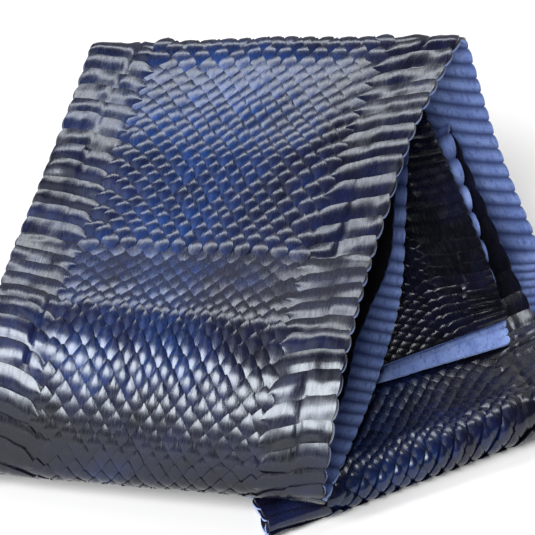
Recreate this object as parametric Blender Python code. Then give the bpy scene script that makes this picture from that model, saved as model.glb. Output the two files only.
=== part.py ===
"""A tanned snake skin: one long strip of leather, folded up and set down as a small open tent.

The strip is belly-cut, so wide belly scutes run along both margins and small keeled scales fill the middle.
It is modelled flat, as a slab of leather with its scutes and scales, and then laid over a row of fold lines.
"""

import bisect
import math

import bmesh
import bpy
from mathutils import Vector

# Driving dimensions, in millimetres.
LEATHER = 1.0
WIDTH = 120.0
SCUTE_COUNT = 119
SCUTE_LIFT = 0.45
SCALE_LIFT = 0.35
SCALLOP = 0.9
SWEEP_BACK = 6.0
FREE_EDGE = 0.14
SQUARE_REACH = 14.0
SHARPEST_TURN = 20.0
TIGHT_FOLD = 25.0
MM = 0.001

# Where the columns of vertices lie across the strip: -1 is the left margin, 1 is the right margin.
BELLY_EDGE = 0.63
COLUMNS = [-1.0, -BELLY_EDGE, -0.42, -0.21, 0.0, 0.21, 0.42, BELLY_EDGE, 1.0]

# The fold lines, in order along the strip: the left end, the right end, and how far the bend reaches each way.
# The strip starts at the cut end that lies on the bottom leaf, and ends at the cut end of the inner leaf.
FOLD_LINES = [
    ("cut end on the bottom leaf", (-28.5, -57, 7), (62, 21.5, 7), 0),
    ("foot of the short leaf", (-34, -41, 7), (57.5, 38, 7.5), 12),
    ("top of the short leaf", (-55.5, -2.5, 13), (30, 81, 55), 3),
    ("top of the leaf behind it", (-57.5, 2, 10.5), (29, 87.5, 54), 3),
    ("where it flattens", (-28.5, -29.5, 4), (65.5, 49, 4), 12),
    ("middle of the bottom leaf", (-8, -78, 4), (81.5, 12.5, 5.5), 16),
    ("low nose, upper side", (4, -99.5, 6.5), (94, -13, 18.5), 12),
    ("low nose, lower side", (4, -100, 0.5), (94, -13.5, 0.5), 12),
    ("middle of the floor leaf", (-22.5, -32, 0.5), (77.5, 40, 0.5), 20),
    ("foot of the back panel", (-51.5, 50.5, 0.5), (61.5, 100, 0.5), 10),
    ("middle of the back panel", (-72.5, 57.5, 44), (44.5, 96, 44), 20),
    ("ridge", (-89, 54, 92), (34, 82, 93.5), 8),
    ("middle of the slope", (-89, 4.5, 78.5), (25.3, 29.8, 80), 14),
    ("crease above the shelf", (-91.9, -35.5, 62.8), (21.6, -23, 60.8), 5),
    ("front roll, top", (-90.3, -79, 57), (23.5, -76.5, 57), 13),
    ("front roll, front", (-92.7, -95, 37), (22.8, -95, 38), 13),
    ("front roll, lower side", (-94, -100.5, 3.5), (20.5, -102, 12.5), 17),
    ("front of the returning leaf", (-93, -47, 20), (23.5, -28.5, 11.5), 14),
    ("middle of the returning leaf", (-91.5, -8, 36), (26, 13, 25), 14),
    ("top of the returning leaf", (-91, 33, 50), (18, 68.5, 69), 5),
    ("top of the inner leaf", (-92.5, 41, 46), (19, 80.5, 67), 5),
    ("middle of the inner leaf", (-56, -10.5, 17), (43.5, 54.5, 34), 20),
    ("cut end of the inner leaf", (-24, -55, 9.5), (59.5, 32.5, 10), 0),
]

SAMPLES_PER_LINE = 48

# The point between the outermost sides of the folded skin, which becomes the origin.
MIDDLE = Vector((0.3, -0.3, 0.0))


def bend_reaches(points):
    """How far each bend reaches along the two straight runs that meet there."""
    reaches = [0.0]
    for before, here, after, line in zip(points, points[1:], points[2:], FOLD_LINES[1:]):
        shortest = min((here - before).length, (after - here).length)
        reaches.append(min(line[3], 0.499 * shortest))
    reaches.append(0.0)
    return reaches


def margin_curve(side):
    """The margin on one side as a list of points, SAMPLES_PER_LINE for each fold line."""
    points = [Vector(line[side]) for line in FOLD_LINES]
    reaches = bend_reaches(points)
    curve = []
    for step in range((len(points) - 1) * SAMPLES_PER_LINE + 1):
        curve.append(point_on_margin(points, reaches, step / SAMPLES_PER_LINE))
    return curve


def point_on_margin(points, reaches, place):
    """A quarter of the way to each side of a fold line is its round bend, and the rest is straight."""
    nearest = min(len(points) - 1, max(0, round(place)))
    offset = place - nearest
    if reaches[nearest] > 0 and abs(offset) <= 0.25:
        corner = points[nearest]
        start = corner + (points[nearest - 1] - corner).normalized() * reaches[nearest]
        end = corner + (points[nearest + 1] - corner).normalized() * reaches[nearest]
        return round_bend(start, corner, end, offset * 2 + 0.5)
    first = min(len(points) - 2, int(place))
    run = points[first + 1] - points[first]
    start = points[first] + run.normalized() * reaches[first]
    end = points[first + 1] - run.normalized() * reaches[first + 1]
    low = 0.25 if reaches[first] > 0 else 0.0
    high = 0.75 if reaches[first + 1] > 0 else 1.0
    return start.lerp(end, (place - first - low) / (high - low))


def round_bend(start, corner, end, share):
    """A cubic curve that is close to a circle's arc when the corner is square."""
    leave = start.lerp(corner, 0.5523)
    arrive = end.lerp(corner, 0.5523)
    rest = 1 - share
    return (
        start * rest**3
        + leave * 3 * share * rest**2
        + arrive * 3 * share**2 * rest
        + end * share**3
    )


LEFT = margin_curve(1)
RIGHT = margin_curve(2)


def lengths_along_middle():
    lengths = [0.0]
    middles = [(left + right) / 2 for left, right in zip(LEFT, RIGHT)]
    for before, after in zip(middles, middles[1:]):
        lengths.append(lengths[-1] + (after - before).length)
    return lengths


LENGTHS = lengths_along_middle()
PITCH = LENGTHS[-1] / SCUTE_COUNT

# The two cut ends, and the three folds between line pairs that lie only a few millimetres apart.
SQUARE_PLACES = [0.0] + [LENGTHS[int(line * SAMPLES_PER_LINE)] for line in (2.5, 6.5, 19.5)] + [LENGTHS[-1]]


def place_at(along):
    """The place between the samples of the two margins for a length along the strip."""
    along = min(LENGTHS[-1], max(0.0, along))
    upper = min(len(LENGTHS) - 1, max(1, bisect.bisect_left(LENGTHS, along)))
    lower = upper - 1
    return lower + (along - LENGTHS[lower]) / (LENGTHS[upper] - LENGTHS[lower])


def middle_surface(along, across):
    """The point halfway through the leather, at a length along the strip and a share across it."""
    place = place_at(along)
    lower = min(len(LEFT) - 2, int(place))
    left = LEFT[lower].lerp(LEFT[lower + 1], place - lower)
    right = RIGHT[lower].lerp(RIGHT[lower + 1], place - lower)
    return left.lerp(right, (across + 1) / 2)


def outward(along, across):
    """The direction that the scales face."""
    step = 0.4
    along = min(LENGTHS[-1] - step, max(step, along))
    down_strip = middle_surface(along + step, across) - middle_surface(along - step, across)
    over_strip = middle_surface(along, across + 0.01) - middle_surface(along, across - 0.01)
    return down_strip.cross(over_strip).normalized()


def turn(first, second):
    """The angle in degrees that the leather turns through between two rows, at the margin that turns most."""
    return max(
        math.degrees(outward(first, across).angle(outward(second, across)))
        for across in (-1, 1)
    )


def split(first, second):
    """The rows from the first to just before the second, close enough together to look round in a bend."""
    if second - first < 1.6 or turn(first, second) < SHARPEST_TURN:
        return [first]
    middle = (first + second) / 2
    return split(first, middle) + split(middle, second)


def rows():
    """Two rows for each scute, its lifted free edge and its low base, and more rows in the bends."""
    places = []
    for scute in range(SCUTE_COUNT):
        free_edge = scute * PITCH
        base = free_edge + (1 - FREE_EDGE) * PITCH
        places.extend(split(free_edge, base))
        places.append(base)
    return places + [LENGTHS[-1]]


def free_edge_share(along):
    """1 at a scute's free edge, falling to 0 at its base, where the next free edge steps up."""
    phase = (along / PITCH + 1e-6) % 1.0
    if phase <= 1 - FREE_EDGE:
        return 1 - phase / (1 - FREE_EDGE)
    return (phase - (1 - FREE_EDGE)) / FREE_EDGE


def relief(along, across, column):
    """How far the scale side stands above the plain leather."""
    share = free_edge_share(along)
    if turn(along - 1.5, along + 1.5) > TIGHT_FOLD:
        # The scales can't stand up inside a tight fold.
        share *= 0.3
    if abs(across) >= BELLY_EDGE:
        return SCUTE_LIFT * share
    if column % 2:
        share = 1 - share
    return SCALE_LIFT * share


def swept_back(along, across):
    """A scute's outer end lies further back along the strip, but it lies square in a tight fold and at a cut end."""
    belly = max(0.0, abs(across) - BELLY_EDGE) / (1 - BELLY_EDGE)
    distance = min(abs(along - place) for place in SQUARE_PLACES)
    return along - SWEEP_BACK * belly * min(1.0, max(0.0, distance - 4) / SQUARE_REACH)


def folded(along, column, side):
    """The place in the folded skin of a vertex of the flat slab, on its flesh side (-1) or scale side (1)."""
    across = COLUMNS[column]
    swept = swept_back(along, across)
    scallop = SCALLOP * (free_edge_share(along) - 0.5) / (WIDTH / 2)
    if abs(across) == 1:
        across *= 1 + scallop
    middle = middle_surface(swept, across)
    normal = outward(swept, across)
    if side < 0:
        return middle - normal * LEATHER / 2
    lift = relief(along, across, column)
    if normal.z < 0:
        # The floor presses the scales flat where the leather lies on it.
        lift = min(lift, max(0.0, (middle.z + normal.z * LEATHER / 2) / -normal.z))
    return middle + normal * (LEATHER / 2 + lift)


def flat_slab(places):
    """A slab of leather as a grid, with the scale side up."""
    mesh = bmesh.new()
    bmesh.ops.create_grid(mesh, x_segments=len(COLUMNS) - 1, y_segments=len(places) - 1, size=0.5)
    scale_side = bmesh.ops.extrude_face_region(mesh, geom=mesh.faces[:])
    for item in scale_side["geom"]:
        if isinstance(item, bmesh.types.BMVert):
            item.co.z = 1.0
    return mesh


def fold(mesh, places):
    """Lays the slab over the fold lines."""
    for vertex in mesh.verts:
        column = round((vertex.co.x + 0.5) * (len(COLUMNS) - 1))
        row = round((vertex.co.y + 0.5) * (len(places) - 1))
        side = 1 if vertex.co.z > 0.5 else -1
        vertex.co = (folded(places[row], column, side) - MIDDLE) * MM


def dyed_leather():
    material = bpy.data.materials.new("dyed_snake_leather")
    material.use_nodes = True
    shader = material.node_tree.nodes["Principled BSDF"]
    shader.inputs["Base Color"].default_value = (0.012, 0.03, 0.14, 1)
    shader.inputs["Roughness"].default_value = 0.25
    shader.inputs["Metallic"].default_value = 0.0
    material.diffuse_color = (0.05, 0.10, 0.35, 1)
    return material


def snake_skin():
    places = rows()
    mesh = flat_slab(places)
    fold(mesh, places)
    bmesh.ops.triangulate(mesh, faces=mesh.faces[:], quad_method="SHORT_EDGE")
    bmesh.ops.recalc_face_normals(mesh, faces=mesh.faces[:])
    data = bpy.data.meshes.new("snake_skin")
    mesh.to_mesh(data)
    mesh.free()
    data.materials.append(dyed_leather())
    skin = bpy.data.objects.new("snake_skin", data)
    bpy.context.scene.collection.objects.link(skin)
    return skin


for old in list(bpy.data.objects):
    bpy.data.objects.remove(old)
skin = snake_skin()
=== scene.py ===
# %% [markdown]
# # A tanned snake skin
#
# A snake skin leaves the tannery as one long strip of leather. This one was cut open along the belly, so
# the small keeled scales of the back run down the middle, and half of each wide belly scute lies along
# each margin. The strip is about as wide as a hand and 0.9 m long. It has been folded over itself and
# set down as a small tent.
#
# We work in the same order as the tannery and the shop: first the flat leather with all its scales, then
# the fold. Modelling flat keeps every scale simple, because "along the strip" and "across the strip" are
# then plain Y and X.

# %% Load the frame
import math

import bmesh
import bpy
import numpy as np
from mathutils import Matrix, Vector


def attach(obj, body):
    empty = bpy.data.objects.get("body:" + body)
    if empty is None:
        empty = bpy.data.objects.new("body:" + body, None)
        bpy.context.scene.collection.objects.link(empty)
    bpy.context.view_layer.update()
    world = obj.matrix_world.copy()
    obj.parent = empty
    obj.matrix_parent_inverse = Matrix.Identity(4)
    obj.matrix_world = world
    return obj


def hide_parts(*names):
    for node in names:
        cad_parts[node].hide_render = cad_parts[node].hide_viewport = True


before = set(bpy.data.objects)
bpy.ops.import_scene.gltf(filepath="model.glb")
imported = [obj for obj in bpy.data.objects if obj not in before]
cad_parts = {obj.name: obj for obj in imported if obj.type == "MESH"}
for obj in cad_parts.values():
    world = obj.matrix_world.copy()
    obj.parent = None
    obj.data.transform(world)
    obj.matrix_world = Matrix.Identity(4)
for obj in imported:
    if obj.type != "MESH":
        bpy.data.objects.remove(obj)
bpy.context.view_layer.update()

# %% [markdown]
# ## The sizes of the strip
#
# Everything is in millimetres until the very last step. A belly-cut skin has a fixed number of back
# scale columns, and one belly scute for each row of back scales. So the width of a column and the
# distance between two scutes set the size of every scale on the skin.
#
# `SHEET_TOP` is how far the top of the plain leather lies over the surface that we fold, and `MIDDLE` is
# the place that ends up at the origin of the frame.

# %% Sizes in millimetres
MM = 0.001
WIDTH = 120.0
LEATHER = 1.0
BACK_COLUMNS = 25
BACK_HALF = 38.0
COLUMN_STEP = 2 * BACK_HALF / BACK_COLUMNS
BELLY = WIDTH / 2 - BACK_HALF
WIDEST_PITCH = 7.6
SHEET_TOP = 0.15
MIDDLE = np.array([0.3, -0.3, 0.0])
print("column step", round(COLUMN_STEP, 2), "mm, belly strips", BELLY, "mm wide")

# %% [markdown]
# ## Where the leather bends
#
# Leather that is laid down by hand bends along a few nearly straight lines. Each line below has its left
# end, its right end, and how far its bend reaches on each side. A small reach is a tight fold, and a
# large one is a soft roll.

# %% Fold lines
FOLD_LINES = [
    ("cut end on the bottom leaf", (-28.5, -57, 7), (62, 21.5, 7), 0),
    ("foot of the short leaf", (-34, -41, 7), (57.5, 38, 7.5), 12),
    ("top of the short leaf", (-55.5, -2.5, 13), (30, 81, 55), 3),
    ("top of the leaf behind it", (-57.5, 2, 10.5), (29, 87.5, 54), 3),
    ("where it flattens", (-28.5, -29.5, 4), (65.5, 49, 4), 12),
    ("middle of the bottom leaf", (-8, -78, 4), (81.5, 12.5, 5.5), 16),
    ("low nose, upper side", (4, -99.5, 6.5), (94, -13, 18.5), 12),
    ("low nose, lower side", (4, -100, 0.5), (94, -13.5, 0.5), 12),
    ("middle of the floor leaf", (-22.5, -32, 0.5), (77.5, 40, 0.5), 20),
    ("foot of the back panel", (-51.5, 50.5, 0.5), (61.5, 100, 0.5), 10),
    ("middle of the back panel", (-72.5, 57.5, 44), (44.5, 96, 44), 20),
    ("ridge", (-89, 54, 92), (34, 82, 93.5), 8),
    ("middle of the slope", (-89, 4.5, 78.5), (25.3, 29.8, 80), 14),
    ("crease above the shelf", (-91.9, -35.5, 62.8), (21.6, -23, 60.8), 5),
    ("front roll, top", (-90.3, -79, 57), (23.5, -76.5, 57), 13),
    ("front roll, front", (-92.7, -95, 37), (22.8, -95, 38), 13),
    ("front roll, lower side", (-94, -100.5, 3.5), (20.5, -102, 12.5), 17),
    ("front of the returning leaf", (-93, -47, 20), (23.5, -28.5, 11.5), 14),
    ("middle of the returning leaf", (-91.5, -8, 36), (26, 13, 25), 14),
    ("top of the returning leaf", (-91, 33, 50), (18, 68.5, 69), 5),
    ("top of the inner leaf", (-92.5, 41, 46), (19, 80.5, 67), 5),
    ("middle of the inner leaf", (-56, -10.5, 17), (43.5, 54.5, 34), 20),
    ("cut end of the inner leaf", (-24, -55, 9.5), (59.5, 32.5, 10), 0),
]
SAMPLES_PER_LINE = 96
print(len(FOLD_LINES), "fold lines")

# %% [markdown]
# ## From fold lines to a curved sheet
#
# The two margins are smooth curves through the ends of the fold lines, and the leather spans straight
# from one margin to the other, which is how a sheet that only bends behaves. `round_bend` is a Bezier
# curve whose handles make it close to an arc, so every roll looks round. The distance along the middle
# of the strip then tells us where each scute goes.

# %% Margin curves
def bend_reaches(points):
    reaches = [0.0]
    for before, here, after, line in zip(points, points[1:], points[2:], FOLD_LINES[1:]):
        shortest = min((here - before).length, (after - here).length)
        reaches.append(min(line[3], 0.499 * shortest))
    reaches.append(0.0)
    return reaches


def round_bend(start, corner, end, share):
    leave = start.lerp(corner, 0.5523)
    arrive = end.lerp(corner, 0.5523)
    rest = 1 - share
    return (
        start * rest**3
        + leave * 3 * share * rest**2
        + arrive * 3 * share**2 * rest
        + end * share**3
    )


def point_on_margin(points, reaches, place):
    nearest = min(len(points) - 1, max(0, round(place)))
    offset = place - nearest
    if reaches[nearest] > 0 and abs(offset) <= 0.25:
        corner = points[nearest]
        start = corner + (points[nearest - 1] - corner).normalized() * reaches[nearest]
        end = corner + (points[nearest + 1] - corner).normalized() * reaches[nearest]
        return round_bend(start, corner, end, offset * 2 + 0.5)
    first = min(len(points) - 2, int(place))
    run = points[first + 1] - points[first]
    start = points[first] + run.normalized() * reaches[first]
    end = points[first + 1] - run.normalized() * reaches[first + 1]
    low = 0.25 if reaches[first] > 0 else 0.0
    high = 0.75 if reaches[first + 1] > 0 else 1.0
    return start.lerp(end, (place - first - low) / (high - low))


def margin_curve(side):
    points = [Vector(line[side]) for line in FOLD_LINES]
    reaches = bend_reaches(points)
    steps = (len(points) - 1) * SAMPLES_PER_LINE + 1
    return np.array([point_on_margin(points, reaches, step / SAMPLES_PER_LINE) for step in range(steps)])


LEFT = margin_curve(1)
RIGHT = margin_curve(2)
LENGTHS = np.concatenate([[0.0], np.cumsum(np.linalg.norm(np.diff((LEFT + RIGHT) / 2, axis=0), axis=1))])
TOTAL = LENGTHS[-1]
print("strip", round(TOTAL), "mm long")

# %% [markdown]
# ## Rows of scales
#
# Scutes and scales get smaller towards the end of a snake, here towards the cut end of the inner leaf.
# We say how far apart the scutes are at some places along the strip and count rows from that. From here
# on a place on the skin is often a row number, and `place` turns it into millimetres along the strip.

# %% Rows
PITCHES = [(0, 7.6), (345, 7.6), (365, 6.4), (430, 6.4), (450, 7.6), (640, 7.6), (740, 4.8), (903, 4.2)]


def number_rows():
    fine = np.linspace(0, TOTAL, 3001)
    pitch = np.interp(fine, *zip(*PITCHES))
    rows = np.concatenate([[0.0], np.cumsum(np.diff(fine) * 2 / (pitch[1:] + pitch[:-1]))])
    count = round(rows[-1])
    return fine, rows * count / rows[-1], count


FINE, ROWS, SCUTE_COUNT = number_rows()


def place(row):
    return np.interp(row, ROWS, FINE)


def scale_size(row):
    """1 where the scutes are furthest apart, and less where they are closer."""
    return np.interp(place(row), *zip(*PITCHES)) / WIDEST_PITCH


print(SCUTE_COUNT, "scutes along each margin")

# %% [markdown]
# ## Laying flat points on the folded skin
#
# `middle_surface` turns a length along and a distance across into a point. `outward` is the direction
# the scales face there, and `bend` tells how sharply the leather curves: above zero where the scales are
# on the outside. Stiff scales can't follow a sharp bend, so we will use that number to make their tips
# stand up, as on the real skin.

# %% Folding functions
def middle_surface(along, across):
    left = np.stack([np.interp(along, LENGTHS, LEFT[:, axis]) for axis in range(3)], axis=1)
    right = np.stack([np.interp(along, LENGTHS, RIGHT[:, axis]) for axis in range(3)], axis=1)
    share = (across / WIDTH + 0.5)[:, None]
    return left * (1 - share) + right * share


def outward(along, across):
    step = 0.7
    here = np.clip(along, step, TOTAL - step)
    down_strip = middle_surface(here + step, across) - middle_surface(here - step, across)
    over_strip = middle_surface(here, across + 1) - middle_surface(here, across - 1)
    normal = np.cross(down_strip, over_strip)
    return normal / np.linalg.norm(normal, axis=1)[:, None]


def bend(along, across):
    step = 3.5
    here = np.clip(along, step, TOTAL - step)
    change = outward(here + step, across) - outward(here - step, across)
    travel = middle_surface(here + step, across) - middle_surface(here - step, across)
    return (change * travel).sum(axis=1) / (travel * travel).sum(axis=1)


SWEEPS = [(0, 5.5), (770, 5.0), (815, -4.0), (903, -4.0)]


def sweep(along, across):
    """The outer end of a scute lies further back along the strip, except beside the two straight cuts."""
    belly = np.clip((np.abs(across) - BACK_HALF) / BELLY, 0, 1)
    from_end = np.clip(np.minimum(along, TOTAL - along) / 16, 0, 1)
    return along - np.interp(along, *zip(*SWEEPS)) * (1 - (1 - belly) ** 1.6) * from_end


def swell(along, across):
    """Low waves, as leather is never quite flat: highest at the free margins of the front panel."""
    free = np.interp(along, (0, 425, 445, 640, 655, 905), (0.15, 0.15, 1.0, 1.0, 0.15, 0.15))
    waves = noise(across / 17, along / 21, 71) - 0.5 + 0.5 * (noise(across / 7, along / 9, 73) - 0.5)
    return free * (0.8 + 0.9 * np.abs(across / 60) ** 3) * waves


def laid(along, across, height):
    """Points of the folded skin, in metres. The floor presses flat what would sink into it."""
    along = np.clip(along, 0.0, TOTAL)
    middle = middle_surface(along, across)
    normal = outward(along, across)
    middle = middle + normal * swell(along, across)[:, None]
    down = np.maximum(-normal[:, 2], 1e-3)
    room = np.maximum(middle[:, 2] / down - 0.02, SHEET_TOP + 0.05)
    extra = np.maximum(height - SHEET_TOP, 0)
    pressed = SHEET_TOP + (room - SHEET_TOP) * (1 - np.exp(-extra / (room - SHEET_TOP)))
    height = np.where((normal[:, 2] < -0.2) & (height > SHEET_TOP), pressed, height)
    return (middle + normal * height[:, None] - MIDDLE) * MM


def noise(x, y, seed):
    """Smooth random hills about one unit wide, from 0 to 1."""
    def corner(i, j):
        value = np.sin(i * 127.1 + j * 311.7 + seed * 74.7) * 43758.5453
        return value - np.floor(value)

    i, j = np.floor(x), np.floor(y)
    fx, fy = x - i, y - j
    fx, fy = fx * fx * (3 - 2 * fx), fy * fy * (3 - 2 * fy)
    low = corner(i, j) * (1 - fx) + corner(i + 1, j) * fx
    high = corner(i, j + 1) * (1 - fx) + corner(i + 1, j + 1) * fx
    return low * (1 - fy) + high * fy


def point(value):
    return np.array([float(value)])


ridge_point = laid(point(439), point(0), point(0))[0]
print("height of the ridge", round(float(ridge_point[2]) / MM), "mm")

# %% [markdown]
# ## The dye, and painted shade
#
# The blue dye didn't take evenly. It is clearest along the back of the front panel, a little left of its
# middle, and fades to nearly black towards the margins. Where the skin lies in shade, on the lower side
# of
# the front roll and on the short leaf and the inner leaf inside the fold, the number is lowered further:
# that is painted shade. `dye_and_shade` gives a number from 0 to 1 for every place.

# %% Dye and painted shade by place
# Painted shade: the low values on the short leaf (0 to 90), the lower side of the front roll (609 to 625)
# and the leaves inside the fold (from 655) darken places that lie in shade.
DYE_AND_SHADE_ALONG = [
    (0, 0.15), (90, 0.15), (130, 0.5), (205, 0.5), (215, 0.2), (425, 0.2), (440, 0.35), (452, 0.8),
    (480, 0.9), (500, 0.7), (535, 0.65), (560, 0.6), (600, 0.65), (609, 0.4), (616, 0.1), (625, 0.1),
    (636, 0.3), (655, 0.2), (905, 0.2),
]
DYE_CENTRE = -12
DYE_REACH = 32


def dye_and_shade(along, across):
    """How clear the blue is, from 0 to 1, with blotches of two sizes, lowered as painted shade where the
    skin lies in shade.
    """
    beside = np.exp(-(((across - DYE_CENTRE) / DYE_REACH) ** 2))
    blotches = noise(across / 11, along / 13, 91) - 0.5 + 0.6 * (noise(across / 4, along / 4, 93) - 0.5)
    return np.clip(np.interp(along, *zip(*DYE_AND_SHADE_ALONG)) * (0.3 + 0.7 * beside) + 0.35 * blotches, 0, 1)


print("dye on the slope", round(float(dye_and_shade(point(480), point(DYE_CENTRE))[0]), 2))

# %% [markdown]
# ## Helpers for flat pieces
#
# A flat piece is an ordinary mesh with X across, Y along and Z up, in millimetres. Array modifiers
# repeat it, and then `finish_folded` swaps its coordinates for folded ones. The flat position is kept in
# a mesh attribute named `strip`, so that the materials can still ask where on the strip they are.

# %% Mesh helpers
def new_object(name, mesh):
    data = bpy.data.meshes.new(name)
    mesh.to_mesh(data)
    mesh.free()
    obj = bpy.data.objects.new(name, data)
    bpy.context.scene.collection.objects.link(obj)
    return obj


def coordinates(data):
    values = np.empty(len(data.vertices) * 3)
    data.vertices.foreach_get("co", values)
    return values.reshape(-1, 3)


def repeat(obj, count):
    """Repeats a flat piece with an Array modifier and bakes the result into its mesh."""
    array = obj.modifiers.new("array", "ARRAY")
    array.count = count
    array.use_relative_offset = False
    evaluated = obj.evaluated_get(bpy.context.evaluated_depsgraph_get())
    single = obj.data
    obj.data = bpy.data.meshes.new_from_object(evaluated)
    obj.data.name = obj.name
    obj.modifiers.clear()
    bpy.data.meshes.remove(single)


def keep(data, name, values):
    attribute = data.attributes.new(name, "FLOAT_VECTOR", "POINT")
    attribute.data.foreach_set("vector", np.ascontiguousarray(values, dtype=np.float32).ravel())


def finish_folded(obj, along, across, height, sharp):
    data = obj.data
    keep(data, "strip", np.stack([across, along, height], axis=1) / 100)
    data.vertices.foreach_set("co", laid(along, across, height).ravel())
    data.flip_normals()
    data.shade_smooth()
    data.set_sharp_from_angle(angle=math.radians(sharp))
    data.update()
    triangles = sum(len(face.vertices) - 2 for face in data.polygons)
    print(obj.name, len(data.vertices), "vertices", triangles, "triangles")


# %% [markdown]
# ## The leather itself
#
# Below the scales is a plain sheet of leather. Its flesh side was shaved and brushed to suede, but each
# scute still shows through it as a soft rib, with a groove where two scutes meet. A grid extruded once
# gives a closed slab. Eight rows per scute are enough for the ribs.
#
# The flesh is smooth near the cut end that lies on the bottom leaf, so the ribs fade out there.
#
# Inside the fold behind the front panel only a narrow rim of flesh is lit. Beyond that rim the leather
# lies in deep shade, and that shade is painted on it as near black, so `lit_rim_width` says how wide the
# lit rim is at a place along the strip.

# %% Leather sheet
LIT_RIM_WIDTHS = [
    (655, 70), (664, 9.0), (698, 8.4), (709, 9.2), (722, 10.4), (738, 8.7), (749, 5.8), (760, 3.6),
    (794, 3.2),
]
SHEET_COLUMNS = 38
STEPS_PER_SCUTE = 8
EDGE_START = 52
EDGE_WIDTH = 8


def leather_sheet():
    mesh = bmesh.new()
    steps = SCUTE_COUNT * STEPS_PER_SCUTE
    bmesh.ops.create_grid(mesh, x_segments=SHEET_COLUMNS, y_segments=steps, size=0.5)
    top = bmesh.ops.extrude_face_region(mesh, geom=mesh.faces[:])
    for item in top["geom"]:
        if isinstance(item, bmesh.types.BMVert):
            item.co.z = 1.0
    bmesh.ops.recalc_face_normals(mesh, faces=mesh.faces[:])
    return new_object("leather_sheet", mesh)


def scallop(row):
    """How far the margin bulges out at a place in a scute: out in its middle, in where two meet."""
    return (1.2 * np.sqrt(np.sin(math.pi * (row % 1.0))) - 0.7) * scale_size(row)


def lit_rim_width(along):
    return np.interp(along, *zip(*LIT_RIM_WIDTHS), right=200)


def shape_leather(obj):
    flat = coordinates(obj.data)
    row = (flat[:, 1] + 0.5) * SCUTE_COUNT
    across = flat[:, 0] * WIDTH
    edge = np.clip((np.abs(across) - EDGE_START) / EDGE_WIDTH, 0, 1)
    across = across + np.sign(across) * edge * (scallop(row) + 0.25)
    along = sweep(place(row), across)
    from_groove = 1 - np.abs(2 * (row % 1.0) - 1)
    rib = 1 - (1 - from_groove) ** 3
    wave = noise(across / 9, along / 13, 3) - 0.5
    # Past the lit rim the flesh gets painted shade, near black, and the sheet is a little thinner there.
    past_lit_rim = WIDTH / 2 - lit_rim_width(along) + 0.6 * scallop(row) - across
    dark = np.clip(past_lit_rim / 0.8, 0, 1)
    ribbed = np.interp(along, (0, 18, 32), (0.1, 0.2, 1.0))
    rib = ribbed * rib
    thick = LEATHER / 2 + 0.55 * rib * (0.5 + 0.5 * edge) * scale_size(row) + 0.25 * wave - 0.35 * dark
    height = np.where(flat[:, 2] > 0.5, SHEET_TOP, -thick)
    keep(obj.data, "scale", np.stack([dye_and_shade(along, across), row % 1.0, row % 1.0], axis=1))
    keep(obj.data, "flesh", np.stack([1 - ribbed * (1 - from_groove), past_lit_rim, row % 1.0], axis=1))
    finish_folded(obj, along, across, height, 60)


leather = leather_sheet()
shape_leather(leather)

# %% [markdown]
# ## One back scale
#
# A back scale is a small plate, rooted at one end and free at the other, with a keel down its middle
# like the ridge of a roof. Its outline is a diamond, so that diamonds in columns offset by half a scute
# fill the back. The underside isn't seen, so its faces are dissolved into a few.
#
# `OUTLINE` is the half width of the plate from root to tip, and `RISE` how it lifts. The other tables
# run along the strip: `STANDING` is how far the free tips stand up, `KEELS` how sharp the keels are, and
# `HOODS` how domed the plates are. A glossy plate acts as a small mirror, so a few degrees of lift
# decide whether a row shines or stays dark, and that is why `STANDING` has so many places. On the front
# roll the leather bends away under the stiff plates, which adds to the lift. On its lower side they lie
# `close` together, like tiles.

# %% Back scales
OUTLINE = [0.3, 0.62, 0.88, 1.0, 0.93, 0.7, 0.4, 0.06]
RISE = [0.0, 0.16, 0.38, 0.64, 0.87, 1.0, 0.99, 0.9]
KEELS = [
    (0, 0.24), (180, 0.24), (188, 0.7), (204, 0.7), (212, 0.24), (440, 0.24), (450, 0.12), (470, 0.14),
    (485, 0.24), (540, 0.24), (546, 0.12), (562, 0.14), (574, 0.5), (606, 0.5), (618, 0.26), (905, 0.24),
]
STANDING = [
    (0, 0.3), (60, 0.3), (80, 0.5), (182, 0.5), (190, 1.9), (200, 1.9), (205, 1.1), (209, 0.5),
    (432, 0.6), (437, 0.6), (441, 1.2), (452, 1.2), (458, 0.25), (474, 0.15), (488, 0.2), (496, 0.5),
    (504, 0.9), (533, 0.85), (543, 0.8), (544.5, 0.08), (560, 0.15), (576, 0.25), (584, 1.0), (594, 1.2),
    (600, 0.7), (606, 0.35), (612, 0.3), (617, 0.3), (640, 0.2), (670, 0.4), (905, 0.5),
]
HOODS = [(0, 0.05), (60, 0.05), (120, 0.2), (455, 0.05), (480, 0.3), (528, 0.3), (545, 0.07), (905, 0.2)]
OUTERMOST = BACK_COLUMNS // 2
PLATE_LENGTH = 8.8


def scale_plate(name, columns, rows, strips):
    """A closed plate as a grid: X and Y run from -1 to 1, and Z is 0 below and 1 on top."""
    mesh = bmesh.new()
    bmesh.ops.create_grid(mesh, x_segments=columns, y_segments=rows, size=1)
    under = mesh.faces[:]
    top = bmesh.ops.extrude_face_region(mesh, geom=under)
    for item in top["geom"]:
        if isinstance(item, bmesh.types.BMVert):
            item.co.z = 1.0
    for strip in range(strips):
        bottom = [face for face in mesh.faces if all(vert.co.z < 0.5 for vert in face.verts)]
        within = [face for face in bottom if int((face.calc_center_median().y + 1) / 2 * strips) == strip]
        bmesh.ops.dissolve_faces(mesh, faces=within, use_verts=False)
    bmesh.ops.recalc_face_normals(mesh, faces=mesh.faces[:])
    return new_object(name, mesh)


def profile(values, share):
    """Reads a list of values that are evenly spread from 0 to 1."""
    return np.interp(share, np.linspace(0, 1, len(values)), values)


def standing(along):
    """How far the free tips stand up at a place along the strip, in millimetres."""
    return np.interp(along, *zip(*STANDING))


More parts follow.
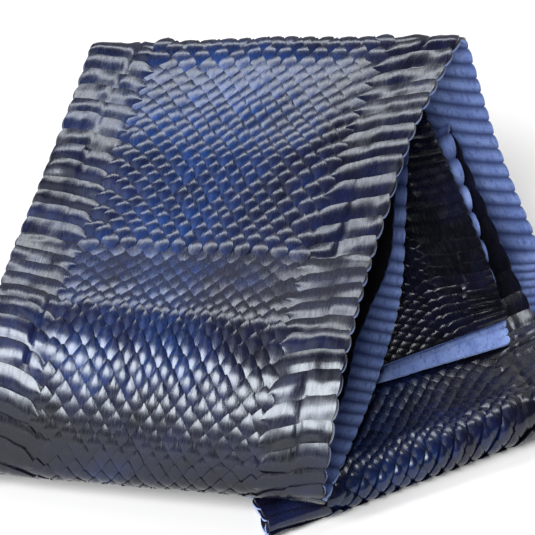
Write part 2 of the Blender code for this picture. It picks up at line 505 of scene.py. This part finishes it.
def back_scales(name, first_column, column_count, first_row, row_count):
    obj = scale_plate(name, 4, 7, 3)
    single = coordinates(obj.data)
    copies = column_count * row_count
    repeat(obj, copies)
    side = np.tile(single[:, 0], copies)
    toward_tip = np.tile((1 - single[:, 1]) / 2, copies)
    on_top = np.tile(single[:, 2], copies) > 0.5
    index = np.repeat(np.arange(copies), len(single))
    column = first_column + 2 * (index % column_count)
    row = first_row + index // column_count
    chance = noise(column * 1.0, row * 1.0, 11)
    other_chance = noise(column * 1.0, row * 1.0, 41)
    size = scale_size(row)

    outermost = np.abs(column) == OUTERMOST
    close = np.interp(place(row), (609, 618, 645, 660), (0, 1, 1, 0))
    wide = np.where(outermost, 1.0, 0.88 + 0.1 * close)
    flat_across = (column + side * profile(OUTLINE, toward_tip) * wide) * COLUMN_STEP
    share = flat_across / BACK_HALF
    across = BACK_HALF * (0.88 * share + 0.12 * share**3)
    reach = 1.08 + 0.16 * (chance - 0.5)
    lean = 0.5 * (noise(column * 1.0, row * 1.0, 43) - 0.5)
    across = across + 1.2 * (noise(column / 3, row / 3, 81) - 0.5) + lean * toward_tip
    wander = 0.2 * (noise(column / 3, row / 3, 83) - 0.5) + 0.25 * outermost
    along = place(row + 0.5 - toward_tip * reach + wander)

    region = noise(column / 5, row / 5, 61)
    lift = standing(place(row)) * (0.6 + 0.5 * region + 0.4 * chance + 0.15 * outermost) * size
    curve = bend(place(row), column * COLUMN_STEP)
    run = toward_tip * PLATE_LENGTH * size
    flat = np.interp(place(row), (572, 584, 620, 632), (0, 0.5, 0.5, 0))
    plate = lift * (profile(RISE, toward_tip) * (1 - flat) + toward_tip * flat)
    plate = plate + (0.24 + 0.18 * flat) * (1 - 0.75 * close) * np.clip(curve, 0, 0.08) * run**2
    plate = plate + 0.5 * np.clip(-curve, 0, 0.05) * run * (PLATE_LENGTH * size - run)
    hood = np.interp(place(row), *zip(*HOODS))
    dome = hood * (1 - side**2) * np.sin(math.pi * np.clip(0.1 + 0.84 * toward_tip, 0, 1))
    ridge = np.interp(place(row), *zip(*KEELS))
    keel = ridge * (1 - np.abs(side)) * np.sin(math.pi * np.clip(toward_tip, 0, 1)) ** 0.7
    roll = 0.35 * (other_chance - 0.5) * side * toward_tip
    top = SHEET_TOP + 0.1 + plate + (dome + keel) * size + roll
    under = np.maximum(SHEET_TOP - 0.1, SHEET_TOP - 0.35 + plate + roll)
    height = np.where(on_top, top, under)
    keep(obj.data, "scale", np.stack([dye_and_shade(along, across), toward_tip, chance], axis=1))
    finish_folded(obj, along, across, height, 40)
    return obj


back = [
    back_scales("back_scales_even_left", -12, 6, 0.5, SCUTE_COUNT),
    back_scales("back_scales_even_right", 0, 7, 0.5, SCUTE_COUNT),
    back_scales("back_scales_odd_left", -11, 6, 0.0, SCUTE_COUNT + 1),
    back_scales("back_scales_odd_right", 1, 6, 0.0, SCUTE_COUNT + 1),
]

# %% [markdown]
# ## The belly scutes
#
# Along each margin lie the halves of the belly scutes: long soft rolls that overlap like roof tiles.
# Each is a plate like a back scale, but smooth, wavy along its length, and round only at its inner end.
# It starts flat under its neighbour, rises to a crest, and ends in a thick free edge that throws a dark
# line onto the next scute. The small scutes of the inner leaf are the most `steep`. On the skin a few
# short creases run over several scutes in a row.

# %% Belly scutes
LIP = [0.0, 0.2, 0.45, 0.72, 0.93, 1.0, 0.99, 0.95, 0.84]


def crease(distance, row, margin):
    """Short valleys across the scutes, at the same distance from the margin over several rows."""
    line = 43 + 8 * noise(row / 6, row * 0 + 3 * margin, 51)
    strength = np.clip(noise(row / 4, row * 0 + 7 * margin, 53) * 3 - 0.9, 0, 1)
    valley = strength * np.exp(-(((distance - line) / 0.7) ** 2))
    shift = strength * np.clip((line - distance) / 0.8 + 0.5, 0, 1)
    return valley, shift


def belly_scutes(name, margin):
    obj = scale_plate(name, 22, 8, 4)
    single = coordinates(obj.data)
    repeat(obj, SCUTE_COUNT)
    outer = np.tile((single[:, 0] + 1) / 2, SCUTE_COUNT)
    toward_edge = np.tile((1 - single[:, 1]) / 2, SCUTE_COUNT)
    on_top = np.tile(single[:, 2], SCUTE_COUNT) > 0.5
    row = np.repeat(np.arange(SCUTE_COUNT), len(single))
    chance = noise(row * 1.0, np.full(len(row), 5.0) * margin, 17)
    size = scale_size(row + 0.5)

    inner = 36.6 + 2.0 * (chance - 0.5)
    outer_end = WIDTH / 2 - 0.3 + scallop(row + 1 - np.clip(toward_edge, 0.02, 0.98))
    distance = inner + outer**0.85 * (outer_end - inner)
    across = margin * distance
    roundness = np.sqrt(np.clip(1 - np.clip(1 - outer * 6, 0, 1) ** 2, 0.02, 1))
    reach = 1.0 + 0.18 * (chance - 0.5)
    valley, shift = crease(distance, row + 0.5, margin)
    wander = 0.12 * (noise(distance / 4, row * 1.7, 37) - 0.5)
    along = place(row + 0.5 + (0.5 - toward_edge * 1.08) * roundness * reach + 0.13 * shift + wander)
    along = sweep(along, across)

    soft = noise(distance / 4.5, row * 0.7, 29) - 0.5
    steep = np.interp(along, (780, 810), (1.0, 1.8))
    lift = (0.8 + 0.3 * chance + 0.9 * soft) * (0.65 + 0.6 * standing(along)) * steep * size
    wrinkle = noise(distance / 1.5, row * 3.1 + toward_edge * 0.6, 23) - 0.5
    top = SHEET_TOP + 0.12 + lift * profile(LIP, toward_edge) * (1 - 0.75 * valley)
    top = top + 0.22 * wrinkle * np.sin(math.pi * toward_edge) * size
    under = SHEET_TOP - 0.1 + 0.72 * lift * np.clip(toward_edge - 0.45, 0, 1)
    height = np.where(on_top, top, under)
    keep(obj.data, "scale", np.stack([dye_and_shade(along, across), toward_edge, chance], axis=1))
    if margin < 0:
        obj.data.flip_normals()
    finish_folded(obj, along, across, height, 50)
    return obj


belly = [belly_scutes("belly_scutes_left", -1), belly_scutes("belly_scutes_right", 1)]

# %% [markdown]
# ## Materials
#
# All colour is procedural. The noise textures read the `strip` attribute, so their patterns lie in the
# flat skin and are folded with it. Small shader helpers keep the node trees short.

# %% Shader helpers
def new_material(name):
    material = bpy.data.materials.new(name)
    material.use_nodes = True
    tree = material.node_tree
    return material, tree, tree.nodes["Principled BSDF"]


def node(tree, kind, **settings):
    made = tree.nodes.new(kind)
    for key, value in settings.items():
        setattr(made, key, value)
    return made


def feed(tree, socket, value):
    """Links a socket to another node's socket, or sets it to a plain number or vector."""
    if isinstance(value, bpy.types.NodeSocket):
        tree.links.new(value, socket)
    else:
        socket.default_value = value


def attribute(tree, name):
    return node(tree, "ShaderNodeAttribute", attribute_name=name).outputs["Vector"]


def split(tree, vector):
    separate = node(tree, "ShaderNodeSeparateXYZ")
    tree.links.new(vector, separate.inputs[0])
    return separate.outputs


def ramp(tree, value, stops):
    made = node(tree, "ShaderNodeValToRGB")
    tree.links.new(value, made.inputs["Fac"])
    elements = made.color_ramp.elements
    while len(elements) < len(stops):
        elements.new(0.5)
    for element, (position, colour) in zip(elements, stops):
        element.position = position
        element.color = (*colour, 1)
    return made.outputs["Color"]


def noise_value(tree, vector, scale, detail=3.0, stretch=(1, 1, 1)):
    mapping = node(tree, "ShaderNodeMapping")
    feed(tree, mapping.inputs["Scale"], stretch)
    tree.links.new(vector, mapping.inputs["Vector"])
    made = node(tree, "ShaderNodeTexNoise")
    feed(tree, made.inputs["Scale"], scale)
    made.inputs["Detail"].default_value = detail
    tree.links.new(mapping.outputs["Vector"], made.inputs["Vector"])
    return made.outputs["Fac"]


def mix_colour(tree, share, first, second):
    made = node(tree, "ShaderNodeMix", data_type="RGBA")
    sockets = {socket.identifier: socket for socket in made.inputs}
    for key, value in (("Factor_Float", share), ("A_Color", first), ("B_Color", second)):
        if isinstance(value, tuple):
            sockets[key].default_value = (*value, 1)
        else:
            tree.links.new(value, sockets[key])
    return {socket.identifier: socket for socket in made.outputs}["Result_Color"]


def map_range(tree, value, low, high, out_low, out_high):
    made = node(tree, "ShaderNodeMapRange")
    feed(tree, made.inputs["From Min"], low)
    feed(tree, made.inputs["From Max"], high)
    feed(tree, made.inputs["To Min"], out_low)
    feed(tree, made.inputs["To Max"], out_high)
    tree.links.new(value, made.inputs["Value"])
    return made.outputs["Result"]


def bump(tree, height, strength, distance_mm):
    made = node(tree, "ShaderNodeBump")
    made.inputs["Strength"].default_value = strength
    made.inputs["Distance"].default_value = distance_mm * MM
    tree.links.new(height, made.inputs["Height"])
    return made.outputs["Normal"]


print("shader helpers ready")

# %% [markdown]
# ## Dye, painted shade and grain
#
# The scale side was dyed navy, nearly black. Where the dye took well it is a clear blue, more so at the
# root of each scale than at its free edge. The `scale` attribute holds how well the dye took, lowered as
# painted shade where the skin lies in shade, how far we are towards the free edge, and a random number
# for each scale. A fine grain lies over scale side and flesh side alike. More than one material shows
# each of
# the two, so we make them node groups: built once, and placed in each material with the values it has
# there.

# %% Dye, painted shade and grain
BLACK_BLUE = (0.003, 0.003, 0.006)
NAVY = (0.005, 0.006, 0.022)
BODY_BLUE = (0.005, 0.017, 0.066)
CLEAR_BLUE = (0.008, 0.04, 0.19)


def effect_group(name, inputs, outputs):
    """A new group with named sockets, what it is given, and what it has to fill in."""
    group = bpy.data.node_groups.new(name, "ShaderNodeTree")
    for in_out, sockets in (("INPUT", inputs), ("OUTPUT", outputs)):
        for title, kind in sockets.items():
            group.interface.new_socket(title, in_out=in_out, socket_type="NodeSocket" + kind)
    return group, node(group, "NodeGroupInput").outputs, node(group, "NodeGroupOutput").inputs


def placed(tree, group, values):
    """The effect of a group in one material, with its values there."""
    made = node(tree, "ShaderNodeGroup", node_tree=group)
    for title, value in values.items():
        feed(tree, made.inputs[title], value)
    return made.outputs


def navy_dye_and_shade_group():
    """Navy to clear blue by the dye and painted shade of a place, clearer at the root of each scale,
    nearly black at its edge.
    """
    group, given, result = effect_group(
        "navy_dye_and_shade",
        {"Strip": "Vector", "Scale": "Vector", "Root Share": "Float", "Root Reach": "Float"},
        {"Colour": "Color"},
    )
    scale = split(group, given["Scale"])
    speckle = noise_value(group, given["Strip"], 110, 3.0)
    body = ramp(group, scale["X"], [(0.0, BLACK_BLUE), (0.35, NAVY), (1.0, BODY_BLUE)])
    root = ramp(group, scale["X"], [(0.0, BLACK_BLUE), (0.25, NAVY), (0.8, CLEAR_BLUE)])
    dyed_and_shaded = mix_colour(group, map_range(group, speckle, 0.5, 0.75, 0.0, 0.6), body, root)
    share = map_range(group, scale["Y"], 0.0, given["Root Reach"], given["Root Share"], 0.0)
    rooted = mix_colour(group, share, dyed_and_shaded, root)
    edged = mix_colour(group, map_range(group, scale["Y"], 0.85, 1.0, 0.0, 0.8), rooted, BLACK_BLUE)
    per_scale = map_range(group, scale["Z"], 0, 1, 0.7, 1.3)
    brighter = node(group, "ShaderNodeHueSaturation")
    group.links.new(edged, brighter.inputs["Color"])
    group.links.new(per_scale, brighter.inputs["Value"])
    group.links.new(brighter.outputs["Color"], result["Colour"])
    return group


def leather_grain_group():
    """Fine grain: its height, and the roughness that goes with it on glazed leather."""
    group, given, result = effect_group(
        "leather_grain",
        {"Strip": "Vector", "Fineness": "Float", "Stretch": "Vector"},
        {"Height": "Float", "Roughness": "Float"},
    )
    grain = noise_value(group, given["Strip"], given["Fineness"], 4.0, given["Stretch"])
    group.links.new(grain, result["Height"])
    group.links.new(map_range(group, grain, 0.3, 0.7, 0.2, 0.32), result["Roughness"])
    return group


navy_dye_and_shade = navy_dye_and_shade_group()
leather_grain = leather_grain_group()
print("shared by the materials:", navy_dye_and_shade.name, "and", leather_grain.name)

# %% [markdown]
# ## Glazed leather
#
# After dyeing, the scale side was glazed to a gloss. Its grain is drawn out along the strip, as brush
# marks are, and changes the gloss and the surface a little. Back scales and belly scutes get a material
# each, because the roots of the back scales show more of the clear blue.

# %% Glazed scale leather
BRUSHED = (1.3, 0.25, 1)


def glazed_leather(name, root_share, root_reach, grain_scale, grain_depth):
    material, tree, shader = new_material(name)
    strip = attribute(tree, "strip")
    scale = attribute(tree, "scale")
    roots = {"Root Share": root_share, "Root Reach": root_reach}
    dyed_and_shaded = placed(tree, navy_dye_and_shade, {"Strip": strip, "Scale": scale, **roots})
    grain = placed(tree, leather_grain, {"Strip": strip, "Fineness": grain_scale, "Stretch": BRUSHED})
    tree.links.new(dyed_and_shaded["Colour"], shader.inputs["Base Color"])
    tree.links.new(grain["Roughness"], shader.inputs["Roughness"])
    tree.links.new(bump(tree, grain["Height"], 0.5, grain_depth), shader.inputs["Normal"])
    shader.inputs["IOR"].default_value = 1.5
    shader.inputs["Specular Tint"].default_value = (0.86, 0.93, 1.0, 1)
    return material


back_leather = glazed_leather("glazed_back_scales", 0.6, 0.55, 150, 0.08)
belly_leather = glazed_leather("glazed_belly_scutes", 0.15, 0.3, 110, 0.09)
for obj in back:
    obj.data.materials.append(back_leather)
for obj in belly:
    obj.data.materials.append(belly_leather)
print("glazed:", back_leather.name, "and", belly_leather.name)

# %% [markdown]
# ## Suede, skin between the scales, and the cut edge
#
# The flesh side is matt suede in a pale blue, with painted shade darkening the grooves between the ribs,
# and painted shade, near black, past the lit rim inside the fold. What shows between the scales takes the
# same dye and painted shade as they do. The leather sheet gets all three materials, each face by which
# side it is on.

# %% Suede, skin between the scales, and the cut edge
SUEDE = (0.11, 0.17, 0.42)
SUEDE_PALE = (0.26, 0.36, 0.68)
SUEDE_DARK = (0.03, 0.045, 0.14)
SHADE_BLACK = (0.004, 0.004, 0.006)
EDGE_BLUE = (0.08, 0.13, 0.34)
EDGE_PALE = (0.3, 0.4, 0.7)


def suede():
    material, tree, shader = new_material("flesh_side_suede")
    strip = attribute(tree, "strip")
    flesh = split(tree, attribute(tree, "flesh"))
    grain = placed(tree, leather_grain, {"Strip": strip, "Fineness": 230, "Stretch": (1, 1, 1)})
    nap = grain["Height"]
    cloudy = noise_value(tree, strip, 14, 4.0, (1, 0.45, 1))
    streaks = noise_value(tree, strip, 70, 4.0, (1.6, 0.5, 1))
    tone = mix_colour(tree, map_range(tree, cloudy, 0.35, 0.7, 0.0, 0.7), SUEDE, SUEDE_PALE)
    tone = mix_colour(tree, map_range(tree, nap, 0.4, 0.75, 0.0, 0.5), tone, SUEDE_PALE)
    tone = mix_colour(tree, map_range(tree, streaks, 0.5, 0.72, 0.0, 0.55), tone, SUEDE_DARK)
    # Painted shade: the grooves between the ribs are darkened.
    tone = mix_colour(tree, map_range(tree, flesh["X"], 0.05, 0.75, 0.9, 0.0), tone, SUEDE_DARK)
    # Painted shade: past the lit rim inside the fold the flesh is painted near black.
    tone = mix_colour(tree, map_range(tree, flesh["Y"], 0.0, 0.6, 0.0, 1.0), tone, SHADE_BLACK)
    tree.links.new(tone, shader.inputs["Base Color"])
    tree.links.new(bump(tree, nap, 0.5, 0.12), shader.inputs["Normal"])
    shader.inputs["Roughness"].default_value = 0.95
    shader.inputs["Specular IOR Level"].default_value = 0.2
    return material


def between_scales():
    material, tree, shader = new_material("skin_between_scales")
    cloudy = noise_value(tree, attribute(tree, "strip"), 30, 4.0)
    dyed_and_shaded = split(tree, attribute(tree, "scale"))["X"]
    clear = ramp(tree, dyed_and_shaded, [(0.1, BLACK_BLUE), (0.3, NAVY), (0.7, CLEAR_BLUE)])
    tone = mix_colour(tree, map_range(tree, cloudy, 0.35, 0.65, 0.0, 0.6), clear, NAVY)
    tree.links.new(tone, shader.inputs["Base Color"])
    shader.inputs["Roughness"].default_value = 0.45
    return material


def cut_edge():
    material, tree, shader = new_material("cut_edge")
    fibres = noise_value(tree, attribute(tree, "strip"), 300, 3.0)
    tree.links.new(mix_colour(tree, fibres, EDGE_BLUE, EDGE_PALE), shader.inputs["Base Color"])
    shader.inputs["Roughness"].default_value = 0.9
    return material


def paint_leather(obj):
    for material in (suede(), between_scales(), cut_edge()):
        obj.data.materials.append(material)
    strip = np.empty(len(obj.data.vertices) * 3, dtype=np.float32)
    obj.data.attributes["strip"].data.foreach_get("vector", strip)
    on_top = strip.reshape(-1, 3)[:, 2] > 0
    for face in obj.data.polygons:
        tops = sum(on_top[v] for v in face.vertices)
        face.material_index = 0 if tops == 0 else 1 if tops == len(face.vertices) else 2


paint_leather(leather)
print("leather sheet:", [material.name for material in leather.data.materials])

# %% [markdown]
# ## Tell the frame what we made
#
# The detailed skin stands in for the plain solid, which stays in the physics. All of it rides on the one
# body.

# %% Pieces
skin_pieces = back + belly
for obj in [leather] + skin_pieces:
    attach(obj, "root")
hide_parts("snake_skin")
print(1 + len(skin_pieces), "pieces on the body")

# %% [markdown]
# ## Studio
#
# The photo was taken on a white sweep: a floor that curves up into a backdrop, so no horizon shows. A
# large soft light hangs over the front of the skin, a little to the left. The scales of the front roll
# mirror it. A long one behind the skin makes the slope shine, and a weak one over it fills in. The sweep
# glows in a zone in front and a zone behind, so it looks white in the picture while the skin still
# mirrors a dark room. Glossy scales need that darkness as much as the light, because it draws the black
# bands.

# %% Sweep, lights and camera
FLOOR_FRONT = -2.8
FLOOR_BACK = 1.7
SWEEP_RADIUS = 0.6
SWEEP_RUN = 7.4
GLOW_FROM = -1.2
GLOW_TO = 1.4
GLOW = [(0.28, 0.55), (0.36, 0.08), (0.48, 0.07), (0.63, 0.4), (0.785, 0.36), (0.91, 0.07)]
GLOW_STRENGTH = 1.5


def studio_sweep():
    mesh = bmesh.new()
    bmesh.ops.create_grid(mesh, x_segments=8, y_segments=90, size=1)
    flat = FLOOR_BACK - FLOOR_FRONT
    for vert in mesh.verts:
        run = (vert.co.y + 1) / 2 * SWEEP_RUN
        turned = min(max(0.0, run - flat) / SWEEP_RADIUS, math.pi / 2)
        rise = max(0.0, run - flat - SWEEP_RADIUS * math.pi / 2)
        vert.co.x *= 3.0
        vert.co.y = FLOOR_FRONT + min(run, flat) + SWEEP_RADIUS * math.sin(turned)
        vert.co.z = SWEEP_RADIUS * (1 - math.cos(turned)) + rise - 0.0002
    sweep_object = new_object("studio_sweep", mesh)
    sweep_object.data.shade_smooth()
    material, tree, shader = new_material("white_sweep")
    shader.inputs["Base Color"].default_value = (0.62, 0.62, 0.62, 1)
    shader.inputs["Roughness"].default_value = 0.9
    shader.inputs["Specular IOR Level"].default_value = 0.1
    shader.inputs["Emission Color"].default_value = (1, 1, 1, 1)
    away = split(tree, node(tree, "ShaderNodeTexCoord").outputs["Object"])["Y"]
    stops = [(position, (level, level, level)) for position, level in GLOW]
    glow = ramp(tree, map_range(tree, away, GLOW_FROM, GLOW_TO, 0.0, 1.0), stops)
    strength = map_range(tree, glow, 0.0, 1.0, 0.0, GLOW_STRENGTH)
    tree.links.new(strength, shader.inputs["Emission Strength"])
    sweep_object.data.materials.append(material)


def soft_light(name, place, target, size, radiance):
    light = bpy.data.lights.new(name, "AREA")
    light.shape = "RECTANGLE"
    light.size, light.size_y = size
    light.energy = radiance * math.pi * size[0] * size[1]
    obj = bpy.data.objects.new(name, light)
    obj.location = place
    obj.rotation_euler = (Vector(target) - Vector(place)).to_track_quat("-Z", "Y").to_euler()
    bpy.context.scene.collection.objects.link(obj)


IMAGE_WIDTH = 535
FOCAL_PIXELS = 3300


def studio_camera():
    camera = bpy.data.cameras.new("camera")
    camera.sensor_width = 36.0
    camera.lens = camera.sensor_width * FOCAL_PIXELS / IMAGE_WIDTH
    obj = bpy.data.objects.new("camera", camera)
    obj.location = Vector((180.6, -931.9, 590.0)) * MM
    target = Vector((-17.5, -0.1, 40.0)) * MM
    obj.rotation_euler = (target - obj.location).to_track_quat("-Z", "Y").to_euler()
    bpy.context.scene.collection.objects.link(obj)
    bpy.context.scene.camera = obj


studio_sweep()
soft_light("softbox", (-0.316, -1.14, 0.84), (-0.03, -0.09, 0.04), (1.1, 0.6), 22.0)
soft_light("top_light", (-0.3, -0.46, 1.4), (-0.03, -0.08, 0.05), (0.9, 0.45), 1.2)
soft_light("back_light", (-0.25, 0.68, 1.44), (-0.05, 0.02, 0.08), (1.3, 0.38), 10.5)
studio_camera()
world = bpy.data.worlds.new("dark_room")
world.use_nodes = True
world.node_tree.nodes["Background"].inputs["Color"].default_value = (0.015, 0.015, 0.017, 1)
bpy.context.scene.world = world
bpy.context.scene.view_settings.view_transform = "Standard"
print("lights", [light.name for light in bpy.data.lights])
